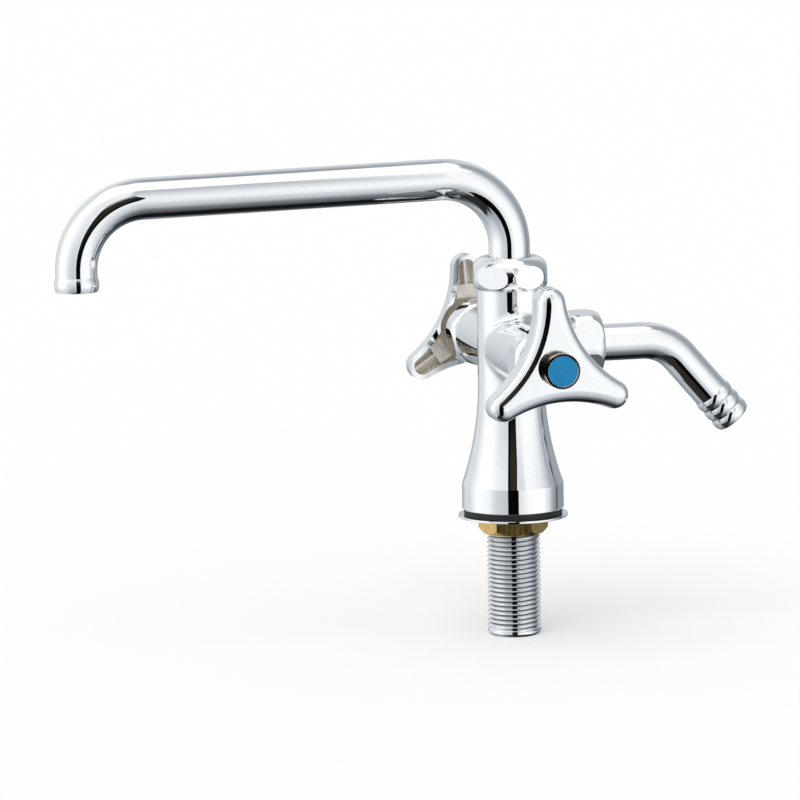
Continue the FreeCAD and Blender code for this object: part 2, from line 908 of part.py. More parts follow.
def make_bonnet(side, turned, degrees):
    low = size("port_reach")
    height = size("bonnet_height")
    hole = size("stem_radius") + size("loose_gap")
    inside = cap_nut_inside(low, height, size("bonnet_roof"), size("port_neck_radius"), hole)
    end = (size("nut_end_inset"), size("nut_end_length"))
    nut = polished_nut(f"{side}_bonnet_nut", size("bonnet_flats"), low, height, inside, degrees, end, end)
    place(nut, turned, VALVE)
    floor = low + size("port_neck_length") - size("gland_recess_depth")
    washer_top = floor + size("packing_washer_thickness")
    stem = size("stem_radius") + size("running_gap")
    wide = size("gland_recess_radius") - size("running_gap")
    place(ring(f"{side}_packing_washer", stem, wide, floor, washer_top), turned, VALVE)
    packing = new_body(f"{side}_gland_packing")
    ceiling = low + height - size("bonnet_roof")
    slope = size("packing_height") / 2
    turn(
        packing,
        [
            (stem, washer_top),
            (wide, washer_top),
            (wide, ceiling - slope),
            (wide - slope, ceiling),
            (stem, ceiling),
        ],
    )
    place(packing, turned, VALVE)


def three_arm_outline(sketch, inset):
    """Three round tips joined by three hollow sides, each side tangent to the two tips beside it."""
    tip = size("tip_radius") - inset
    centre = size("tip_centre")
    waist = size("waist_radius") - inset
    reach = (centre * centre - (waist - tip) * (waist - tip)) / (centre - 2 * (waist - tip))
    hollow = reach - waist
    tips = [polar(centre, 90 + 120 * i) for i in range(3)]
    hollows = [polar(reach, 150 + 120 * i) for i in range(3)]

    def touch(i, side):
        towards = hollows[(i + side) % 3]
        dx = towards[0].value - tips[i][0].value
        dy = towards[1].value - tips[i][1].value
        return math.degrees(math.atan2(dy, dx))

    upright = FreeCAD.Vector(0, 0, 1)
    for i in range(3):
        start, stop = touch(i, -1), touch(i, 0)
        circle = Part.Circle(FreeCAD.Vector(tips[i][0].value, tips[i][1].value, 0), upright, tip.value)
        sketch.addGeometry(Part.ArcOfCircle(circle, math.radians(start), math.radians(stop)), False)
    for i in range(3):
        start, stop = touch((i + 1) % 3, -1) + 180, touch(i, 0) + 180
        middle = FreeCAD.Vector(hollows[i][0].value, hollows[i][1].value, 0)
        circle = Part.Circle(middle, upright, hollow.value)
        sketch.addGeometry(Part.ArcOfCircle(circle, math.radians(start), math.radians(stop)), False)
    for i in range(3):
        sketch.addConstraint(Sketcher.Constraint("Tangent", i, 2, 3 + i, 2))
        sketch.addConstraint(Sketcher.Constraint("Tangent", 3 + i, 1, (i + 1) % 3, 1))
        fix(sketch, "Radius", tip, i)
        fix(sketch, "Radius", hollow, 3 + i)
        fix_point(sketch, i, 3, tips[i])


def arm_box(sketch, near, far, half):
    draw_outline(sketch, [(half, near), (half, far), (-half, far), (-half, near)])


def repeat_round(body, feature):
    pattern = body.newObject("PartDesign::PolarPattern", f"{body.Name}_pattern")
    pattern.Originals = [feature]
    axis = [item for item in body.Origin.OriginFeatures if item.Role == "Z_Axis"][0]
    pattern.Axis = (axis, [""])
    pattern.Angle = 360.0
    pattern.Occurrences = 3
    body.Tip = pattern
    doc.recompute()
    return pattern


def make_handle(side, spun):
    """The hollow three-arm handle: rounded front edges, open back, hub, and a stepped rib in each arm."""
    body = new_body(f"{side}_handle")
    back = size("stem_reach")
    depth = size("handle_depth")
    front = back + depth
    outline = new_sketch(body, "XY_Plane", back)
    three_arm_outline(outline, ZERO)
    block = push(body, outline, depth)
    face = [
        edge
        for edge in (f"Edge{i + 1}" for i in range(len(block.Shape.Edges)))
        if abs(block.Shape.getElement(edge).BoundBox.ZMin - front.value) < 1e-6
    ]
    rounded = body.newObject("PartDesign::Fillet", f"{side}_handle_edge")
    rounded.Base = (block, face)
    bind(rounded, "Radius", size("handle_edge"))
    ends_well(rounded, True)
    floor = front - size("handle_face")
    hollow = new_sketch(body, "XY_Plane", back)
    three_arm_outline(hollow, size("handle_wall"))
    push(body, hollow, depth - size("handle_face"), cuts=True, back=True)
    # hub that fits over the spindle's square
    hub = new_sketch(body, "XY_Plane", back)
    draw_circle(hub, size("hub_radius"))
    push(body, hub, depth - size("handle_face") / 2)
    # a step across each arm with a round boss on it
    wall = size("handle_wall")
    step_low = back + size("step_depth")
    step = new_sketch(body, "XY_Plane", step_low)
    half = size("tip_radius") - wall / 2
    arm_box(step, size("step_near"), size("step_far"), half)
    repeat_round(body, push(body, step, floor - step_low + wall / 2))
    boss = new_sketch(body, "XY_Plane", step_low - size("boss_height"))
    draw_circle(boss, size("boss_radius"), (ZERO, size("boss_place")))
    repeat_round(body, push(body, boss, size("boss_height") + wall / 2))
    rib = new_sketch(body, "XY_Plane", step_low + size("boss_height"))
    rib_end = size("tip_centre") + size("tip_radius") - wall / 2
    arm_box(rib, size("step_far") - wall / 2, rib_end, size("tip_rib") / 2)
    repeat_round(body, push(body, rib, floor - step_low - size("boss_height") + wall / 2))
    socket = new_sketch(body, "XY_Plane", back)
    half = size("square_half") + size("running_gap")
    draw_outline(socket, [(half, half), (-half, half), (-half, -half), (half, -half)])
    push(body, socket, depth - size("handle_face"), cuts=True, back=True)
    hole = new_sketch(body, "XY_Plane", front)
    draw_circle(hole, size("screw_radius") + size("loose_gap"))
    push(body, hole, size("handle_face") + 1, cuts=True)
    place(body, spun, VALVE)


def make_index(side, turned):
    """The knurled cap screw and the coloured disc set into its front."""
    body = new_body(f"{side}_index_screw")
    low = size("stem_reach") + size("handle_depth")
    high = low + size("cap_height")
    cap = size("cap_radius")
    edge = size("edge_break")
    pocket = cap - size("cap_rim")
    turn(
        body,
        [
            (ZERO, low - size("screw_length")),
            (size("screw_radius"), low - size("screw_length")),
            (size("screw_radius"), low),
            (cap - edge, low),
            (cap, low + edge),
            (cap, high - edge),
            (cap - edge, high),
            (pocket, high),
            (pocket, high - size("cap_recess")),
            (ZERO, high - size("cap_recess")),
        ],
    )
    place(body, turned, VALVE)
    disc = new_body(f"{side}_index_disc")
    dome = size("index_dome")
    radius = pocket - size("running_gap")
    floor = high - size("cap_recess")
    bow = (radius * radius + dome * dome) / (2 * dome)
    turn(
        disc,
        [(ZERO, floor), (radius, floor), (radius, high - dome), (ZERO, high)],
        {2: (bow, 1)},
    )
    place(disc, turned, VALVE)


make_body()
make_shank()
make_base_rings()
make_spout()
make_spout_fittings()
make_hose_pipe()
make_hose_fittings()
for side, turned, degrees, twist in (("front", FRONT, 25, 4), ("rear", REAR, 17, -4)):
    spun = turned * FreeCAD.Rotation(FreeCAD.Vector(0, 0, 1), twist)
    make_jumper(side, turned)
    make_spindle(side, spun)
    make_bonnet(side, turned, degrees)
    make_handle(side, spun)
    make_index(side, turned)
doc.recompute()

os.makedirs("parts", exist_ok=True)
bodies = [item for item in doc.Objects if item.isDerivedFrom("PartDesign::Body")]
for item in doc.Objects:
    if "Invalid" in item.State or "Error" in item.State:
        raise RuntimeError(f"{item.Name} is {item.State}")
for item in bodies:
    shape = item.Shape
    if shape.isNull() or not shape.isValid() or len(shape.Solids) != 1:
        raise RuntimeError(f"{item.Label} has a bad shape with {len(shape.Solids)} solids")
for item in bodies:
    item.Shape.exportStep(f"parts/{item.Label}.step")
    print(item.Label, round(item.Shape.Volume, 1))
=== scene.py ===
import json
import math

import bmesh
import bpy
from mathutils import Matrix, Vector


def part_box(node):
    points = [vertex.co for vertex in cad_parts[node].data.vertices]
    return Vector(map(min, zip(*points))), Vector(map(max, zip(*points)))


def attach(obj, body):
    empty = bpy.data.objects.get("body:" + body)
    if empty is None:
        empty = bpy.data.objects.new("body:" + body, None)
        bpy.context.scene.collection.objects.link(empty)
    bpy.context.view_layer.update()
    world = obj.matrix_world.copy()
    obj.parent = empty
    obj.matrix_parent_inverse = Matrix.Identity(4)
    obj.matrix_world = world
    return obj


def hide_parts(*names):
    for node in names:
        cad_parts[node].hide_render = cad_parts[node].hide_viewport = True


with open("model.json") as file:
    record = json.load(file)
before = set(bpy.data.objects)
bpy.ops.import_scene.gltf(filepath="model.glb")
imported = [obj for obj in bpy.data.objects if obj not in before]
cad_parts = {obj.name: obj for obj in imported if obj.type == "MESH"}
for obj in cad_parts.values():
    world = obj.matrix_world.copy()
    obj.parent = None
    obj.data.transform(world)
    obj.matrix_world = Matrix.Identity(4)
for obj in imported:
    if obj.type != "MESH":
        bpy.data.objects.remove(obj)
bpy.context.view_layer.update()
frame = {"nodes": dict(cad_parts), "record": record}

# Deck tap with a swivel spout and a hose outlet. Metres; +Z is up the column, and z = 0 is the deck's top.
MM = 0.001
NODES = frame["nodes"]
BODY_OF = {node: body for body, nodes in frame["record"]["behaviour"]["bodies"].items() for node in nodes}

# The camera's place, worked out from the photograph: degrees, millimetres, and a lens in mm on a 36 mm sensor
VIEW_SIDE = 13.747
VIEW_UP = 8.258
VIEW_ROLL = -1.057
VIEW_DISTANCE = 1670.132
VIEW_SHIFT = (-43.478, 45.319)
LENS = 192.747

# Sizes are in millimetres and angles in degrees. The floor lies under the shank's end
FLOOR = -47.85
# The shank's pipe thread, G 1/2, the plain ring below it, and the slope at both ends of the tube
THREAD_PITCH = 1.814
THREAD_CREST = 10.4775
THREAD_DEPTH = 1.162
THREAD_END = 3.0
PLAIN_RING = 1.5
END_CHAMFER = 1.0
# How sharp the thread's crests and roots are: 1 would be a plain zigzag
THREAD_SHARPNESS = 0.95
STEPS_ROUND = 72
STEPS_A_TURN = 12
# The cap's diamond knurling
KNURLS_ROUND = 54
KNURL_ROWS = 5
KNURL_WIDTH = 0.8
KNURL_HEIGHT = 0.3
# The cap's outer radius over the knurls, and how far its front ring slopes back to them
CAP_RADIUS = 6.75
CAP_SLOPE = 0.28
# The front ring's width, how far in from the side its points are looked for, and how far in the knurls'
# painted shade and highlight reach
RING_WIDTH = 0.72
RING_REACH = 0.7
KNURL_PAINTED_LIGHT_REACH = 0.65
# The cap's side points that lie no deeper than this behind the front are its front edge
EDGE_DEPTH = 1.0
# Places closer than this count as the same height or radius
TOUCH = 0.01
# Points closer than this become one: in a rolled grid, and in a copy of a solid
MERGE_GRID = 0.002
MERGE_SOLID = 0.0005
# The height of both valves' axis
VALVE_HEIGHT = 65.3
# Faces that meet more sharply than this get a crease on the thread or the cap, or end the handle's plating
THREAD_CREASE = 42
CAP_CREASE = 30
PLATING_ENDS = 40
# How squarely a face of the handle's rim looks back
RIM_SQUARE = 0.9
# The handle's rounded edge leaves the flat face at EDGE_START and has only turned to SLOW_TURN where an even
# edge would stand at SLOW_BEND; within EDGE_MARGIN of flat and of square nothing changes
EDGE_START = 7
SLOW_BEND = 24
SLOW_TURN = 21
EDGE_MARGIN = 1
# Greys below this level turn warm and those above it cool, and how weak that tint is
WARM_BELOW = 60
TINT_WEAKNESS = 1600
# How much the floor glows for the camera alone, and the world's level where it is neither seen nor mirrored
FLOOR_GLOW = 0.235
WORLD_LEVEL = 0.64
# The key light's level, how wide it spreads, and how it is turned
KEY_LEVEL = 0.8
KEY_SPREAD = 50
KEY_TURN = (28, -22)
# How bright the white cloth of the tent is in a reflection
TENT_LEVEL = 1.1
# The black card's distance from the column, its outline seen from the camera, and where it fades out
FLAG_AWAY = 650.0
FLAG_OUTLINE = ((-144, -585), (156, -585), (156, -330), (126, -60), (126, 250), (60, 530), (-144, 530))
FLAG_FADE = (350, 520)
# The card's lighter part: (from, to, softness), across and up
LIGHTER_ACROSS = (-80, 100, 20)
LIGHTER_UP = (150, 600, 90)


# Colours and materials
def linear(code):
    """A hex colour as it is written, turned into the shader's linear values."""
    parts = [int(code[i : i + 2], 16) / 255 for i in (1, 3, 5)]
    return [part / 12.92 if part <= 0.04045 else ((part + 0.055) / 1.055) ** 2.4 for part in parts] + [1.0]


def shade(level):
    """A grey from its level of 0 to 255, slightly cool in the middle and slightly warm in the dark."""
    cool = round((255 - level) * (level - WARM_BELOW) / TINT_WEAKNESS)
    return f"#{level - cool:02X}{level:02X}{level + cool:02X}"


def add(tree, kind, inputs=None, **settings):
    """Adds a node with its settings; each input takes a value or the output that feeds it."""
    made = tree.nodes.new(kind)
    for name, value in settings.items():
        setattr(made, name, value)
    for name, value in (inputs or {}).items():
        if isinstance(value, bpy.types.NodeSocket):
            tree.links.new(value, made.inputs[name])
        else:
            made.inputs[name].default_value = value
    return made


def set_ramp(ramp, stops):
    """Gives a colour ramp its stops, as (place, hex colour)."""
    stops_now = ramp.color_ramp.elements
    while len(stops_now) < len(stops):
        stops_now.new(0.5)
    for element, (place, code) in zip(stops_now, stops):
        element.position = place
        element.color = linear(code)
    return ramp.outputs["Color"]


def new_material(name):
    made = bpy.data.materials.new(name)
    made.use_nodes = True
    made.node_tree.nodes.clear()
    return made, made.node_tree


def close(tree, shader):
    add(tree, "ShaderNodeOutputMaterial", {"Surface": shader.outputs[0]})


def metal_finish(name, colours, roughness, wave_mm, wave_depth, grain_mm, grain_depth, metal=1.0):
    """A metal whose colour, gloss and flatness vary a little over the surface."""
    made, tree = new_material(name)
    place = add(tree, "ShaderNodeTexCoord").outputs["Object"]
    waves = add(tree, "ShaderNodeTexNoise", {"Vector": place, "Scale": 1 / (wave_mm * MM), "Detail": 2.0})
    grain = add(tree, "ShaderNodeTexNoise", {"Vector": place, "Scale": 1 / (grain_mm * MM), "Detail": 4.0})
    ramp = add(tree, "ShaderNodeValToRGB", {"Fac": grain.outputs["Fac"]})
    tint = set_ramp(ramp, [(0.3, colours[0]), (0.7, colours[1])])
    rough = add(
        tree,
        "ShaderNodeMapRange",
        {"Value": waves.outputs["Fac"], "To Min": roughness[0], "To Max": roughness[1]},
    )
    swell = add(tree, "ShaderNodeBump", {"Height": waves.outputs["Fac"], "Distance": wave_depth * MM})
    pits = add(
        tree,
        "ShaderNodeBump",
        {"Height": grain.outputs["Fac"], "Distance": grain_depth * MM, "Normal": swell.outputs["Normal"]},
    )
    shader = add(
        tree,
        "ShaderNodeBsdfPrincipled",
        {
            "Base Color": tint,
            "Metallic": metal,
            "Roughness": rough.outputs["Result"],
            "Normal": pits.outputs["Normal"],
        },
    )
    close(tree, shader)
    return made


def polished_chrome():
    """Bright nickel and chrome over polished brass: a mirror with the least haze and hardly any waviness."""
    return metal_finish(
        "polished_chrome_plate",
        ("#F6F7F8", "#FAFBFB"),
        roughness=(0.012, 0.035),
        wave_mm=9.0,
        wave_depth=0.002,
        grain_mm=0.9,
        grain_depth=0.0,
    )


def cast_chrome():
    """The same plate over a polished casting, whose faces roll a little more."""
    return metal_finish(
        "chrome_on_casting",
        ("#F4F6F7", "#F9FAFB"),
        roughness=(0.02, 0.05),
        wave_mm=12.0,
        wave_depth=0.004,
        grain_mm=1.1,
        grain_depth=0.0,
    )


def bare_zinc():
    """Die-cast zinc that the plating hardly reached: warm grey, with blurred highlights in its pockets."""
    return metal_finish(
        "die_cast_zinc",
        ("#F0E8DA", "#FFFAF0"),
        roughness=(0.15, 0.3),
        wave_mm=3.0,
        wave_depth=0.05,
        grain_mm=0.8,
        grain_depth=0.01,
        metal=0.6,
    )


def machined_brass(streak_mm=0.5, stretch=0.04, mark_depth=0.006):
    """Milled yellow brass: soft streaks along the flats and a satin gloss."""
    made, tree = new_material("machined_brass")
    place = add(tree, "ShaderNodeTexCoord").outputs["Object"]
    drawn = add(tree, "ShaderNodeMapping", {"Vector": place, "Scale": (1.0, 1.0, stretch)})
    streaks = add(
        tree,
        "ShaderNodeTexNoise",
        {"Vector": drawn.outputs["Vector"], "Scale": 1 / (streak_mm * MM), "Detail": 3.0},
    )
    ramp = add(tree, "ShaderNodeValToRGB", {"Fac": streaks.outputs["Fac"]})
    tint = set_ramp(ramp, [(0.3, "#D9AE5E"), (0.5, "#F0C878"), (0.72, "#FFDF9A")])
    rough = add(
        tree, "ShaderNodeMapRange", {"Value": streaks.outputs["Fac"], "To Min": 0.16, "To Max": 0.32}
    )
    marks = add(tree, "ShaderNodeBump", {"Height": streaks.outputs["Fac"], "Distance": mark_depth * MM})
    shader = add(
        tree,
        "ShaderNodeBsdfPrincipled",
        {
            "Base Color": tint,
            "Metallic": 1.0,
            "Roughness": rough.outputs["Result"],
            "Normal": marks.outputs["Normal"],
        },
    )
    close(tree, shader)
    return made


def by_depth(name, axis, centre_height, root, crest, stops, grain_mm=0.7, roughness=(0.03, 0.16)):
    """A plated metal with painted shade that darkens into its grooves, told by the distance from the part's
    own axis.
    """
    made, tree = new_material(name)
    place = add(tree, "ShaderNodeTexCoord").outputs["Object"]
    spot = add(tree, "ShaderNodeSeparateXYZ", {0: place})
    flat = add(tree, "ShaderNodeCombineXYZ", {side: spot.outputs[side] for side in "XYZ" if side != axis})
    away = add(
        tree,
        "ShaderNodeVectorMath",
        {0: flat.outputs[0], 1: (0, 0, centre_height * MM)},
        operation="DISTANCE",
    )
    worn = add(
        tree,
        "ShaderNodeMapRange",
        {"Value": away.outputs["Value"], "From Min": root * MM, "From Max": crest * MM},
    )
    tint = set_ramp(add(tree, "ShaderNodeValToRGB", {"Fac": worn.outputs["Result"]}), stops)
    grain = add(tree, "ShaderNodeTexNoise", {"Vector": place, "Scale": 1 / (grain_mm * MM), "Detail": 3.0})
    rough = add(
        tree,
        "ShaderNodeMapRange",
        {"Value": grain.outputs["Fac"], "To Min": roughness[0], "To Max": roughness[1]},
    )
    shader = add(
        tree,
        "ShaderNodeBsdfPrincipled",
        {"Base Color": tint, "Metallic": 1.0, "Roughness": rough.outputs["Result"]},
    )
    close(tree, shader)
    return made


def knurl_with_painted_light():
    """Plated brass, dark in its own colour, with painted highlight on the knurls' points and the rim, and
    painted shade in the valleys between them and on the front ring.
    """
    return by_depth(
        "aged_knurled_brass",
        "Y",
        VALVE_HEIGHT,
        CAP_RADIUS - KNURL_HEIGHT,
        CAP_RADIUS,
        [(0.0, "#1B1713"), (0.35, "#4A4036"), (0.8, "#E2CDB4")],
    )


def thread_with_painted_shade():
    """Chrome on a cut thread with painted shade: bright crests, darkening down into the groove where shade
    falls.
    """
    return by_depth(
        "thread_with_painted_shade",
        "Z",
        0.0,
        THREAD_CREST - THREAD_DEPTH,
        THREAD_CREST,
        [(0.0, "#74797D"), (0.14, "#ABB0B4"), (0.36, "#F6F7F8")],
    )


def moulded(name, colours, roughness, grain_mm, grain_depth, specular=0.5):
    """A moulded plastic or rubber: one colour with a faint mottle and a fine skin."""
    made, tree = new_material(name)
    place = add(tree, "ShaderNodeTexCoord").outputs["Object"]
    grain = add(tree, "ShaderNodeTexNoise", {"Vector": place, "Scale": 1 / (grain_mm * MM), "Detail": 3.0})
    ramp = add(tree, "ShaderNodeValToRGB", {"Fac": grain.outputs["Fac"]})
    tint = set_ramp(ramp, [(0.3, colours[0]), (0.7, colours[1])])
    rough = add(
        tree,
        "ShaderNodeMapRange",
        {"Value": grain.outputs["Fac"], "To Min": roughness[0], "To Max": roughness[1]},
    )
    skin = add(tree, "ShaderNodeBump", {"Height": grain.outputs["Fac"], "Distance": grain_depth * MM})
    shader = add(
        tree,
        "ShaderNodeBsdfPrincipled",
        {
            "Base Color": tint,
            "Roughness": rough.outputs["Result"],
            "IOR": 1.5,
            "Specular IOR Level": specular,
            "Normal": skin.outputs["Normal"],
        },
    )
    close(tree, shader)
    return made


FINISHES = {
    "chrome": polished_chrome(),
    "cast_handle": cast_chrome(),
    "brass": machined_brass(),
    # black nitrile rubber, matt with a fine skin
    "rubber": moulded(
        "nitrile_rubber", ("#161615", "#22211F"), roughness=(0.5, 0.7), grain_mm=0.6, grain_depth=0.01
    ),
    # graphited packing, dark grey with a dull sheen
    "packing": moulded(
        "graphite_packing", ("#242424", "#33322F"), roughness=(0.35, 0.55), grain_mm=0.5, grain_depth=0.02
    ),
    # natural acetal, milky white and a little waxy
    "slip_ring": moulded(
        "natural_acetal", ("#DEDBD0", "#E9E6DC"), roughness=(0.3, 0.4), grain_mm=0.8, grain_depth=0.004
    ),
    # blue plastic with a soft gloss
    "index_blue": moulded(
        "soft_blue_plastic",
        ("#1284BE", "#1C90C8"),
        roughness=(0.22, 0.3),
        grain_mm=2.5,
        grain_depth=0.003,
        specular=0.25,
    ),
}
ZINC = bare_zinc()
KNURL_PAINTED_LIGHT = knurl_with_painted_light()
THREAD_SHADE_PAINT = thread_with_painted_shade()


def slot_of(node):
    """The record's material slot that a CAD node takes its finish from."""
    material = NODES[node].data.materials[0].name.split(".")[0]
    return material if material in FINISHES else "chrome"


# Meshes
def flatten(obj):
    """Turns an object with modifiers into a plain mesh with the same name."""
    bpy.context.view_layer.update()
    shaped = obj.evaluated_get(bpy.context.evaluated_depsgraph_get())
    mesh = bpy.data.meshes.new_from_object(shaped)
    obj.modifiers.clear()
    obj.data = mesh
    return obj


def new_object(name, mesh):
    made = bpy.data.objects.new(name, mesh)
    bpy.context.scene.collection.objects.link(made)
    return made


def merged_copy(node, name):
    """A copy of a CAD node's mesh as one connected surface, which keeps the exact shading of the curves."""
    mesh = NODES[node].data.copy()
    layer = mesh.attributes.new("curve_normal", "FLOAT_VECTOR", "CORNER")
    for corner, normal in zip(layer.data, mesh.corner_normals):
        corner.vector = normal.vector
    work = bmesh.new()
    work.from_mesh(mesh)
    bmesh.ops.remove_doubles(work, verts=work.verts, dist=MERGE_SOLID * MM)
    work.to_mesh(mesh)
    work.free()
    return new_object(name, mesh)


def set_normals(mesh, bend=None):
    """Gives a merged copy its kept normals back, each one changed by bend."""
    layer = mesh.attributes["curve_normal"]
    normals = [Vector(corner.vector).normalized() for corner in layer.data]
    mesh.attributes.remove(layer)
    if bend:
        normals = [bend(normal) for normal in normals]
    mesh.shade_smooth()
    mesh.normals_split_custom_set(normals)


def plated_faces(work, back, outward):
    """The faces that the plating covers: the outside, up to the rim, and the rim itself."""
    front = max(work.faces, key=lambda face: face.calc_center_median().y * outward)
    found = {front}
    queue = [front]
    while queue:
        face = queue.pop()
        for edge in face.edges:
            if edge.calc_face_angle(math.pi) > math.radians(PLATING_ENDS):
                continue
            for other in edge.link_faces:
                if other not in found:
                    found.add(other)
                    queue.append(other)
    for face in work.faces:
        level = abs(face.calc_center_median().y - back) < TOUCH * MM
        if level and face.normal.y * outward < -RIM_SQUARE:
            found.add(face)
    return found


def worn_edge(outward):
    """The rounded edge leaves the flat face at a slight angle and turns slowly there, as buffing does."""

    def bend(normal):
        front = Vector((0, outward, 0))
        tilt = math.degrees(normal.angle(front))
        if tilt < EDGE_MARGIN or tilt > 90 - EDGE_MARGIN:
            return normal
        if tilt < SLOW_BEND:
            wanted = EDGE_START + tilt * (SLOW_TURN - EDGE_START) / SLOW_BEND
        else:
            wanted = SLOW_TURN + (tilt - SLOW_BEND) * (90 - SLOW_TURN) / (90 - SLOW_BEND)
        sideways = (normal - front * normal.dot(front)).normalized()
        return front * math.cos(math.radians(wanted)) + sideways * math.sin(math.radians(wanted))

    return bend


def stand_in(piece, node):
    """Puts a finished piece in the place of a CAD node."""
    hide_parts(node)
    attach(piece, BODY_OF[node])


def plate_handle(side, outward):
    """The handle with its plated outside and its bare hollow back."""
    node = f"{side}_handle"
    handle = merged_copy(node, f"{node}_casting")
    mesh = handle.data
    mesh.materials.clear()
    mesh.materials.append(FINISHES["cast_handle"])
    mesh.materials.append(ZINC)
    low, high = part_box(node)
    back = low.y if outward > 0 else high.y
    work = bmesh.new()
    work.from_mesh(mesh)
    covered = plated_faces(work, back, outward)
    plated = [face in covered for face in work.faces]
    work.free()
    for face, chrome in zip(mesh.polygons, plated):
        face.material_index = 0 if chrome else 1
    set_normals(mesh, worn_edge(outward))
    stand_in(handle, node)


# Thread and knurling
def work_out(tree, values, steps):
    """Adds a math node for each step of (result, operation, terms); a term is a result's name or a number."""
    for result, operation, *terms in steps:
        inputs = {i: values.get(term, term) for i, term in enumerate(terms)}
        values[result] = add(tree, "ShaderNodeMath", inputs, operation=operation).outputs[0]


def new_shaper(name, inputs):
    """A node group for a modifier, with its named inputs and their kinds."""
    tree = bpy.data.node_groups.new(name, "GeometryNodeTree")
    tree.interface.new_socket("Geometry", in_out="OUTPUT", socket_type="NodeSocketGeometry")
    for title, kind in inputs.items():
        tree.interface.new_socket(title, in_out="INPUT", socket_type=f"NodeSocket{kind}")
    return tree, add(tree, "NodeGroupInput").outputs


def finish_shape(tree, geometry, finish):
    """Ends a tree: its instances become real and take their finish."""
    real = add(tree, "GeometryNodeRealizeInstances", {"Geometry": geometry})
    shaded = add(tree, "GeometryNodeSetMaterial", {"Geometry": real.outputs[0], "Material": finish})
    add(tree, "NodeGroupOutput", {"Geometry": shaded.outputs[0]})


def grow(name, tree, values):
    """A plain mesh object from a node group and the values of its named inputs."""
    made = new_object(name, bpy.data.meshes.new(name))
    modifier = made.modifiers.new("shape", "NODES")
    modifier.node_group = tree
    for item in tree.interface.items_tree:
        if item.in_out == "INPUT":
            modifier[item.identifier] = values[item.name]
    return flatten(made)


def thread_shaper():
    """A tube whose wall follows a right-hand thread: a sheared grid, rolled up and cut off at both ends."""
    tree, given = new_shaper(
        "pipe_thread",
        {
            "Crest": "Float",
            "Depth": "Float",
            "Pitch": "Float",
            "Foot": "Float",
            "Top": "Float",
            "Plain": "Float",
            "Turns": "Int",
            "Steps Round": "Int",
            "Rows": "Int",
            "Finish": "Material",
        },
    )
    grid = add(
        tree,
        "GeometryNodeMeshGrid",
        {"Size X": 1.0, "Size Y": 1.0, "Vertices X": given["Steps Round"], "Vertices Y": given["Rows"]},
    )
    spot = add(tree, "ShaderNodeSeparateXYZ", {0: add(tree, "GeometryNodeInputPosition").outputs[0]})
    values = {name: given[name] for name in ("Crest", "Depth", "Pitch", "Foot", "Top", "Plain", "Turns")}
    values["across"], values["along"] = spot.outputs["X"], spot.outputs["Y"]
    work_out(
        tree,
        values,
        [
            ("round", "ADD", "across", 0.5),
            ("share", "ADD", "along", 0.5),
            ("wound", "MULTIPLY", "share", "Turns"),
            ("shear", "ADD", "wound", "round"),
            ("count", "SUBTRACT", "shear", 1.0),
            ("raised", "MULTIPLY_ADD", "count", "Pitch", "Foot"),
            ("phase", "MULTIPLY", "wound", 2 * math.pi),
            ("wave", "COSINE", "phase"),
            ("soft wave", "MULTIPLY", "wave", THREAD_SHARPNESS),
            ("flank", "ARCCOSINE", "soft wave"),
            ("ring top", "ADD", "Foot", "Plain"),
            ("thread foot", "ADD", "ring top", "Pitch"),
            ("run-out", "SUBTRACT", "Top", "Pitch"),
            ("above foot", "MAXIMUM", "raised", "Foot"),
            ("height", "MINIMUM", "above foot", "Top"),
        ],
    )
    soft = math.acos(THREAD_SHARPNESS)
    groove = {"Value": values["flank"], "From Min": math.pi - soft, "From Max": soft}
    entry = {"Value": values["raised"], "From Min": values["ring top"], "From Max": values["thread foot"]}
    leave = {"Value": values["raised"], "From Min": values["Top"], "From Max": values["run-out"]}
    for name, limits in (("groove", groove), ("entry", entry), ("leave", leave)):
        values[name] = add(tree, "ShaderNodeMapRange", limits).outputs[0]
    work_out(
        tree,
        values,
        [
            ("cut", "MULTIPLY", "groove", "Depth"),
            ("cut in", "MULTIPLY", "cut", "entry"),
            ("cut out", "MULTIPLY", "cut in", "leave"),
            ("wall", "SUBTRACT", "Crest", "cut out"),
            ("lift", "SUBTRACT", "height", "Foot"),
            ("foot radius", "SUBTRACT", "Crest", END_CHAMFER * MM),
            ("chamfer", "ADD", "foot radius", "lift"),
            ("radius", "MINIMUM", "wall", "chamfer"),
            ("angle", "MULTIPLY", "round", 2 * math.pi),
            ("cosine", "COSINE", "angle"),
            ("sine", "SINE", "angle"),
            ("x", "MULTIPLY", "radius", "cosine"),
            ("y", "MULTIPLY", "radius", "sine"),
        ],
    )
    place = add(tree, "ShaderNodeCombineXYZ", {"X": values["x"], "Y": values["y"], "Z": values["height"]})
    rolled = add(
        tree, "GeometryNodeSetPosition", {"Geometry": grid.outputs["Mesh"], "Position": place.outputs[0]}
    )
    joined = add(
        tree, "GeometryNodeMergeByDistance", {"Geometry": rolled.outputs[0], "Distance": MERGE_GRID * MM}
    )
    finish_shape(tree, joined.outputs[0], given["Finish"])
    return tree


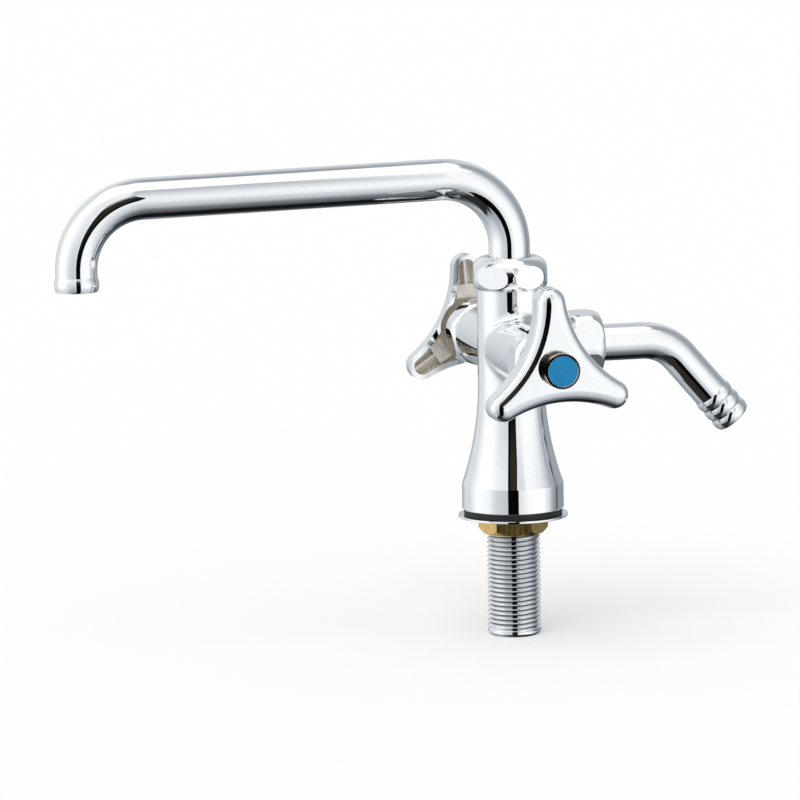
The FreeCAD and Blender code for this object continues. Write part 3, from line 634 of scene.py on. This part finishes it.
def make_shank():
    """The threaded tube: its thread, and the bore and the ends that close it."""
    low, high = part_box("shank")
    crest = (high.x - low.x) / 2
    chamfer = END_CHAMFER * MM
    turns = math.ceil((THREAD_END * MM - low.z) / (THREAD_PITCH * MM)) + 1
    shank = grow(
        "shank_thread",
        thread_shaper(),
        {
            "Crest": crest,
            "Depth": THREAD_DEPTH * MM,
            "Pitch": THREAD_PITCH * MM,
            "Foot": low.z,
            "Top": THREAD_END * MM,
            "Plain": PLAIN_RING * MM,
            "Turns": turns,
            "Steps Round": STEPS_ROUND + 1,
            "Rows": turns * STEPS_A_TURN + 1,
            "Finish": THREAD_SHADE_PAINT,
        },
    )
    inner = min(math.hypot(*vertex.co.xy) for vertex in NODES["shank"].data.vertices)
    work = bmesh.new()
    work.from_mesh(shank.data)
    rings = {}
    for edge in [edge for edge in work.edges if edge.is_boundary]:
        rings.setdefault(edge.verts[0].co.z > low.z + chamfer, []).append(edge)
    ring = rings[True]
    steps = ((crest, high.z - chamfer), (crest - chamfer, high.z), (inner, high.z), (inner, low.z))
    for radius, height in steps:
        made = bmesh.ops.extrude_edge_only(work, edges=ring)["geom"]
        ring = [item for item in made if isinstance(item, bmesh.types.BMEdge)]
        for vertex in {vertex for edge in ring for vertex in edge.verts}:
            flat = vertex.co.xy.normalized() * radius
            vertex.co = (flat.x, flat.y, height)
    bmesh.ops.bridge_loops(work, edges=ring + rings[False])
    bmesh.ops.recalc_face_normals(work, faces=work.faces)
    work.to_mesh(shank.data)
    work.free()
    shank.data.shade_smooth()
    shank.data.set_sharp_from_angle(angle=math.radians(THREAD_CREASE))
    stand_in(shank, "shank")


def knurl_shaper():
    """Four-sided points set round a cylinder in rows, each row half a step further round."""
    tree, given = new_shaper(
        "diamond_knurl",
        {
            "Radius": "Float",
            "Length": "Float",
            "Width": "Float",
            "Height": "Float",
            "Round": "Int",
            "Rows": "Int",
            "Finish": "Material",
        },
    )
    grid = add(
        tree,
        "GeometryNodeMeshGrid",
        {"Size X": 1.0, "Size Y": 1.0, "Vertices X": given["Round"], "Vertices Y": given["Rows"]},
    )
    spot = add(tree, "ShaderNodeSeparateXYZ", {0: add(tree, "GeometryNodeInputPosition").outputs[0]})
    values = {name: given[name] for name in ("Radius", "Length", "Width", "Height", "Round", "Rows")}
    values["across"], values["along"] = spot.outputs["X"], spot.outputs["Y"]
    work_out(
        tree,
        values,
        [
            ("share", "ADD", "along", 0.5),
            ("steps", "SUBTRACT", "Rows", 1.0),
            ("row", "MULTIPLY", "share", "steps"),
            ("whole row", "ROUND", "row"),
            ("odd", "MODULO", "whole row", 2.0),
            ("columns", "SUBTRACT", "Round", 1.0),
            ("column", "MULTIPLY", "across", "columns"),
            ("moved", "MULTIPLY_ADD", "odd", 0.5, "column"),
            ("turn", "DIVIDE", "moved", "Round"),
            ("angle", "MULTIPLY", "turn", 2 * math.pi),
            ("cosine", "COSINE", "angle"),
            ("sine", "SINE", "angle"),
            ("x", "MULTIPLY", "Radius", "cosine"),
            ("y", "MULTIPLY", "Radius", "sine"),
            ("z", "MULTIPLY", "along", "Length"),
            ("half", "MULTIPLY", "Width", math.sqrt(0.5)),
        ],
    )
    place = add(tree, "ShaderNodeCombineXYZ", {"X": values["x"], "Y": values["y"], "Z": values["z"]})
    outward = add(tree, "ShaderNodeCombineXYZ", {"X": values["cosine"], "Y": values["sine"]})
    spread = add(
        tree, "GeometryNodeSetPosition", {"Geometry": grid.outputs["Mesh"], "Position": place.outputs[0]}
    )
    facing = add(tree, "FunctionNodeAlignRotationToVector", {"Vector": outward.outputs[0]}, axis="Z")
    point = add(
        tree,
        "GeometryNodeMeshCone",
        {"Vertices": 4, "Radius Top": 0.0, "Radius Bottom": values["half"], "Depth": values["Height"]},
        fill_type="NONE",
    )
    knurls = add(
        tree,
        "GeometryNodeInstanceOnPoints",
        {
            "Points": spread.outputs[0],
            "Instance": point.outputs["Mesh"],
            "Rotation": facing.outputs[0],
        },
    )
    finish_shape(tree, knurls.outputs[0], given["Finish"])
    return tree


def knurl_cap(side, outward, shaper):
    """The cap screw: knurls round its side, and a front ring that slopes back to them."""
    node = f"{side}_index_screw"
    cap = merged_copy(node, f"{node}_knurled")
    low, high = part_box(node)
    level = (low.z + high.z) / 2
    front = high.y if outward > 0 else low.y
    old = (high.x - low.x) / 2
    valley = (CAP_RADIUS - KNURL_HEIGHT) * MM
    slope_back = front - outward * CAP_SLOPE * MM
    mesh = cap.data
    side_reach = []
    for vertex in mesh.vertices:
        flat = Vector((vertex.co.x, 0, vertex.co.z - level))
        away = flat.length
        depth = abs(vertex.co.y - front)
        if away > old - TOUCH * MM:
            radius, along = valley, vertex.co.y
            if depth < EDGE_DEPTH * MM:
                radius, along = CAP_RADIUS * MM, slope_back
            side_reach.append(along)
        elif away > old - RING_REACH * MM and depth < TOUCH * MM:
            radius, along = old - RING_WIDTH * MM, front
        else:
            continue
        flat = flat.normalized() * radius
        vertex.co = (flat.x, along, flat.z + level)
    near, far = min(side_reach), max(side_reach)
    knurls = grow(
        f"{node}_knurls",
        shaper,
        {
            "Radius": valley,
            "Length": far - near - KNURL_WIDTH * MM,
            "Width": KNURL_WIDTH * MM,
            "Height": KNURL_HEIGHT * MM,
            "Round": KNURLS_ROUND,
            "Rows": KNURL_ROWS,
            "Finish": KNURL_PAINTED_LIGHT,
        },
    )
    middle = Matrix.Translation((0, (near + far) / 2, level))
    knurls.data.transform(middle @ Matrix.Rotation(math.pi / 2, 4, "X"))
    mesh.attributes.remove(mesh.attributes["curve_normal"])
    mesh.materials.append(KNURL_PAINTED_LIGHT)
    mesh.shade_smooth()
    mesh.set_sharp_from_angle(angle=math.radians(CAP_CREASE))
    work = bmesh.new()
    work.from_mesh(mesh)
    for face in work.faces:
        spot = face.calc_center_median()
        away = math.hypot(spot.x, spot.z - level)
        # faces near the rim take the knurls' painted shade and highlight: dark on the front ring's inner
        # part, light at its edge
        face.material_index = 1 if away > old - KNURL_PAINTED_LIGHT_REACH * MM else 0
    count = len(work.faces)
    work.from_mesh(knurls.data)
    for face in list(work.faces)[count:]:
        face.material_index = 1
        face.smooth = False
    work.to_mesh(mesh)
    work.free()
    bpy.data.objects.remove(knurls)
    stand_in(cap, node)


for node, obj in NODES.items():
    obj.data.materials[0] = FINISHES[slot_of(node)]
plate_handle("front", -1)
plate_handle("rear", 1)
make_shank()
KNURLS = knurl_shaper()
knurl_cap("front", -1, KNURLS)
knurl_cap("rear", 1, KNURLS)


# The camera, the floor and the light
def make_camera():
    side, up, roll = (math.radians(angle) for angle in (VIEW_SIDE, VIEW_UP, VIEW_ROLL))
    back = Vector((-math.sin(side) * math.cos(up), -math.cos(side) * math.cos(up), math.sin(up)))
    right = Vector((math.cos(side), -math.sin(side), 0))
    above = Vector((math.sin(side) * math.sin(up), math.cos(side) * math.sin(up), math.cos(up)))
    across = math.cos(roll) * right + math.sin(roll) * above
    upward = math.cos(roll) * above - math.sin(roll) * right
    place = VIEW_SHIFT[0] * right + Vector((0, 0, VIEW_SHIFT[1])) + VIEW_DISTANCE * back
    lens = bpy.data.cameras.new("camera")
    lens.lens = LENS
    lens.clip_end = 100
    made = new_object("camera", lens)
    turned = Matrix((across, upward, back)).transposed()
    made.matrix_world = Matrix.Translation(place * MM) @ turned.to_4x4()
    bpy.context.scene.camera = made


def make_floor():
    """A plain white floor that runs back past the view."""
    mesh = bpy.data.meshes.new("floor")
    reach = 30.0
    corners = [(-reach, -reach), (reach, -reach), (reach, reach), (-reach, reach)]
    mesh.from_pydata([(x, y, FLOOR * MM) for x, y in corners], [], [(0, 1, 2, 3)])
    made = new_object("floor", mesh)
    material, tree = new_material("white_floor")
    paint = add(tree, "ShaderNodeBsdfDiffuse", {"Color": linear("#F3F3F3")})
    path = add(tree, "ShaderNodeLightPath")
    camera_only = {0: path.outputs["Is Camera Ray"], 1: FLOOR_GLOW}
    lift = add(tree, "ShaderNodeMath", camera_only, operation="MULTIPLY")
    glow = add(tree, "ShaderNodeEmission", {"Strength": lift.outputs[0]})
    both = add(tree, "ShaderNodeAddShader", {0: paint.outputs[0], 1: glow.outputs[0]})
    close(tree, both)
    mesh.materials.append(material)
    made.visible_glossy = False


def make_tent():
    """The light tent that only reflections see: white cloth all round and a darker table below."""
    rings, columns, radius = 48, 96, 2.5
    points, faces, places = [], [], []
    for i in range(rings + 1):
        up = math.radians(-90 + 180 * i / rings)
        for j in range(columns + 1):
            turn = math.radians(-180 + 360 * j / columns) - math.radians(VIEW_SIDE)
            points.append(
                (
                    radius * math.cos(up) * math.sin(turn),
                    -radius * math.cos(up) * math.cos(turn),
                    radius * math.sin(up) + VIEW_SHIFT[1] * MM,
                )
            )
            places.append((j / columns, i / rings))
    row = columns + 1
    for i in range(rings):
        for j in range(columns):
            faces.append((i * row + j, i * row + j + 1, (i + 1) * row + j + 1, (i + 1) * row + j))
    mesh = bpy.data.meshes.new("light_tent")
    mesh.from_pydata(points, [], faces)
    layer = mesh.uv_layers.new(name="tent")
    for loop in mesh.loops:
        layer.data[loop.index].uv = places[loop.vertex_index]
    mesh.materials.append(tent_cloth())
    only_mirrored(new_object("light_tent", mesh))


def around(degrees):
    return (degrees + 180) / 360


def upwards(degrees):
    return (degrees + 90) / 180


def band(tree, value, low, high, soft):
    """One between two edges and nothing outside them."""
    rise = add(tree, "ShaderNodeMapRange", {"Value": value, "From Min": low - soft, "From Max": low + soft})
    fall = add(tree, "ShaderNodeMapRange", {"Value": value, "From Min": high + soft, "From Max": high - soft})
    both = {0: rise.outputs[0], 1: fall.outputs[0]}
    return add(tree, "ShaderNodeMath", both, operation="MULTIPLY").outputs[0]


def lay_over(tree, ground, layers):
    """Lays colours over a ground, one after another; each layer is (blend, factor, colour)."""
    for blend, factor, colour in layers:
        inputs = {"Factor": factor, "A": ground, "B": colour}
        made = add(tree, "ShaderNodeMix", inputs, data_type="RGBA", blend_type=blend)
        ground = made.outputs["Result"]
    return ground


# What the chrome mirrors: (degrees round from the camera, level), just below the horizon and well above it
WALLS_BELOW = [
    (-180, 150), (-162, 168), (-148, 200), (-135, 220), (-120, 214), (-105, 236), (-90, 253), (-60, 246),
    (-52, 236), (-45, 220), (-38, 208), (-20, 200), (-12, 198), (13, 225), (21, 232), (30, 246), (45, 254),
    (74, 251), (83, 230), (90, 215), (97, 180), (106, 158), (113, 150), (114, 96), (120, 106), (121, 150),
    (135, 160), (150, 152), (162, 158), (180, 150),
]
WALLS_ABOVE = [
    (-180, 212), (-165, 232), (-150, 232), (-135, 220), (-120, 214), (-105, 236), (-90, 252), (-60, 252),
    (-48, 243), (-35, 236), (-20, 228), (13, 240), (28, 246), (45, 243), (60, 235), (70, 226), (78, 210),
    (90, 180), (97, 170), (110, 154), (125, 157), (140, 164), (150, 194), (160, 222), (180, 212),
]
# How much darker it gets towards the table in front, behind and at the back right: (degrees up, level)
BELOW_FRONT = [
    (-90, 44), (-80, 56), (-73, 88), (-65, 106), (-55, 134), (-50, 158), (-45, 182), (-35, 207), (-25, 223),
    (-15, 245), (-8, 255),
]
BELOW_BEHIND = [
    (-90, 50), (-75, 92), (-65, 150), (-57, 212), (-48, 186), (-35, 196), (-25, 228), (-15, 242), (-8, 255),
]
BELOW_RIGHT = [
    (-90, 40), (-75, 38), (-62, 44), (-54, 82), (-48, 112), (-40, 128), (-30, 160), (-20, 205), (-10, 240),
    (-4, 255),
]
# How much darker it gets towards the roof, at the front right and behind: (degrees up, level)
ABOVE_RIGHT = [(5, 255), (14, 246), (25, 228), (37, 208), (48, 194), (52, 194), (53, 255)]
ABOVE_BEHIND = [(24, 255), (50, 216), (65, 176), (74, 160)]
# Stretches of the tent: (from, to, softness) in degrees round from the camera
STRETCHES = {
    "ahead": (-95, 95, 12),
    "in front": (-140, 84, 8),
    "front right": (12, 29, 2),
    "right side": (84, 158, 8),
    "back right": (104, 200, 10),
}
# Where one part of the tent goes over into the next one up: (from, to) in degrees up
EDGES = {"horizon": (-6, 24), "near roof": (52, 54), "far roof": (70, 78), "side roof": (64, 67)}
# Dark patches on the table: (left, right), (low, high) and level, and how soft their sides and ends are
TABLE_PATCHES = (((-84, 8), (-86, -50), 42), ((-34, 8), (-54, -41), 40))
PATCH_SOFTNESS = (3, 2)


def tent_cloth():
    """White cloth that glows by itself, darker towards the table, under a roof that is open and white."""
    material, tree = new_material("tent_cloth")
    place = add(tree, "ShaderNodeSeparateXYZ", {0: add(tree, "ShaderNodeUVMap").outputs[0]})
    turn, up = place.outputs["X"], place.outputs["Y"]
    white = linear("#FFFFFF")
    tones = {}
    for name, value, scale, stops in (
        ("walls below", turn, around, WALLS_BELOW),
        ("walls above", turn, around, WALLS_ABOVE),
        ("below front", up, upwards, BELOW_FRONT),
        ("below behind", up, upwards, BELOW_BEHIND),
        ("below right", up, upwards, BELOW_RIGHT),
        ("above right", up, upwards, ABOVE_RIGHT),
        ("above behind", up, upwards, ABOVE_BEHIND),
    ):
        ramp = add(tree, "ShaderNodeValToRGB", {"Fac": value})
        tones[name] = set_ramp(ramp, [(scale(angle), shade(level)) for angle, level in stops])
    within = {}
    for name, (left, right, soft) in STRETCHES.items():
        within[name] = band(tree, turn, around(left), around(right), soft / 360)
    past = {}
    for name, (low, high) in EDGES.items():
        limits = {"Value": up, "From Min": upwards(low), "From Max": upwards(high)}
        past[name] = add(tree, "ShaderNodeMapRange", limits).outputs[0]

    walls = lay_over(tree, tones["walls below"], [("MIX", past["horizon"], tones["walls above"])])
    table = lay_over(
        tree,
        tones["below behind"],
        [
            ("MIX", within["ahead"], tones["below front"]),
            ("MIX", within["back right"], tones["below right"]),
        ],
    )
    above_right = lay_over(tree, white, [("MIX", within["front right"], tones["above right"])])
    above_behind = lay_over(
        tree,
        tones["above behind"],
        [("MIX", within["in front"], white), ("MIX", within["right side"], white)],
    )
    roof = past["far roof"]
    for stretch, edge in (("in front", "near roof"), ("right side", "side roof")):
        inputs = {"Factor": within[stretch], "A": roof, "B": past[edge]}
        roof = add(tree, "ShaderNodeMix", inputs, data_type="FLOAT").outputs[0]
    cloth = lay_over(
        tree,
        walls,
        [
            ("MULTIPLY", 1.0, table),
            ("MULTIPLY", 1.0, above_right),
            ("MULTIPLY", 1.0, above_behind),
            ("MIX", roof, white),
        ],
    )
    for (left, right), (low, high), level in TABLE_PATCHES:
        sides = band(tree, turn, around(left), around(right), PATCH_SOFTNESS[0] / 360)
        ends = band(tree, up, upwards(low), upwards(high), PATCH_SOFTNESS[1] / 180)
        patch = add(tree, "ShaderNodeMath", {0: sides, 1: ends}, operation="MULTIPLY").outputs[0]
        cloth = lay_over(tree, cloth, [("MIX", patch, linear(shade(level)))])
    close(tree, add(tree, "ShaderNodeEmission", {"Color": cloth, "Strength": TENT_LEVEL}))
    return material


def make_flag():
    """The black card round the camera, near enough that each piece mirrors it from its own side."""
    side = math.radians(VIEW_SIDE)
    back = Vector((-math.sin(side), -math.cos(side), 0))
    right = Vector((math.cos(side), -math.sin(side), 0))
    corners = [back * FLAG_AWAY + right * across + Vector((0, 0, height)) for across, height in FLAG_OUTLINE]
    mesh = bpy.data.meshes.new("camera_flag")
    mesh.from_pydata([corner * MM for corner in corners], [], [range(len(corners))])
    layer = mesh.uv_layers.new(name="card")
    for loop, place in zip(layer.data, FLAG_OUTLINE):
        loop.uv = place
    material, tree = new_material("black_card")
    place = add(tree, "ShaderNodeSeparateXYZ", {0: add(tree, "ShaderNodeUVMap").outputs[0]})
    across, up = place.outputs["X"], place.outputs["Y"]
    lighter_part = {0: band(tree, across, *LIGHTER_ACROSS), 1: band(tree, up, *LIGHTER_UP)}
    lighter = add(tree, "ShaderNodeMath", lighter_part, operation="MULTIPLY").outputs[0]
    tone = lay_over(tree, linear("#060606"), [("MIX", lighter, linear("#302D27"))])
    card = add(tree, "ShaderNodeEmission", {"Color": tone})
    fade = add(tree, "ShaderNodeMapRange", {"Value": up, "From Min": FLAG_FADE[0], "From Max": FLAG_FADE[1]})
    seen = add(
        tree,
        "ShaderNodeMixShader",
        {0: fade.outputs[0], 1: card.outputs[0], 2: add(tree, "ShaderNodeBsdfTransparent").outputs[0]},
    )
    close(tree, seen)
    mesh.materials.append(material)
    only_mirrored(new_object("camera_flag", mesh))


def only_mirrored(obj):
    """Leaves a studio piece to the mirror images alone: no camera, light or shadow meets it."""
    for ray in ("camera", "diffuse", "shadow", "transmission", "volume_scatter"):
        setattr(obj, f"visible_{ray}", False)


def make_light():
    """An even white world, plain white where it is looked at, and one soft key light."""
    world = bpy.data.worlds.new("studio")
    world.use_nodes = True
    world.node_tree.nodes.clear()
    tree = world.node_tree
    path = add(tree, "ShaderNodeLightPath")
    seen = path.outputs["Is Camera Ray"]
    for ray in ("Is Glossy Ray", "Is Transmission Ray"):
        seen = add(tree, "ShaderNodeMath", {0: seen, 1: path.outputs[ray]}, operation="ADD").outputs[0]
    level = add(tree, "ShaderNodeMapRange", {"Value": seen, "To Min": WORLD_LEVEL, "To Max": 1.0})
    back = add(tree, "ShaderNodeBackground", {"Color": linear("#FFFFFF"), "Strength": level.outputs[0]})
    add(tree, "ShaderNodeOutputWorld", {"Surface": back.outputs[0]})
    bpy.context.scene.world = world
    bpy.context.scene.view_settings.view_transform = "Standard"
    lamp = bpy.data.lights.new("soft_key", "SUN")
    lamp.energy = KEY_LEVEL
    lamp.angle = math.radians(KEY_SPREAD)
    key = new_object("soft_key", lamp)
    key.rotation_euler = (math.radians(KEY_TURN[0]), math.radians(KEY_TURN[1]), 0)
    key.visible_glossy = False


make_camera()
make_floor()
make_tent()
make_flag()
make_light()
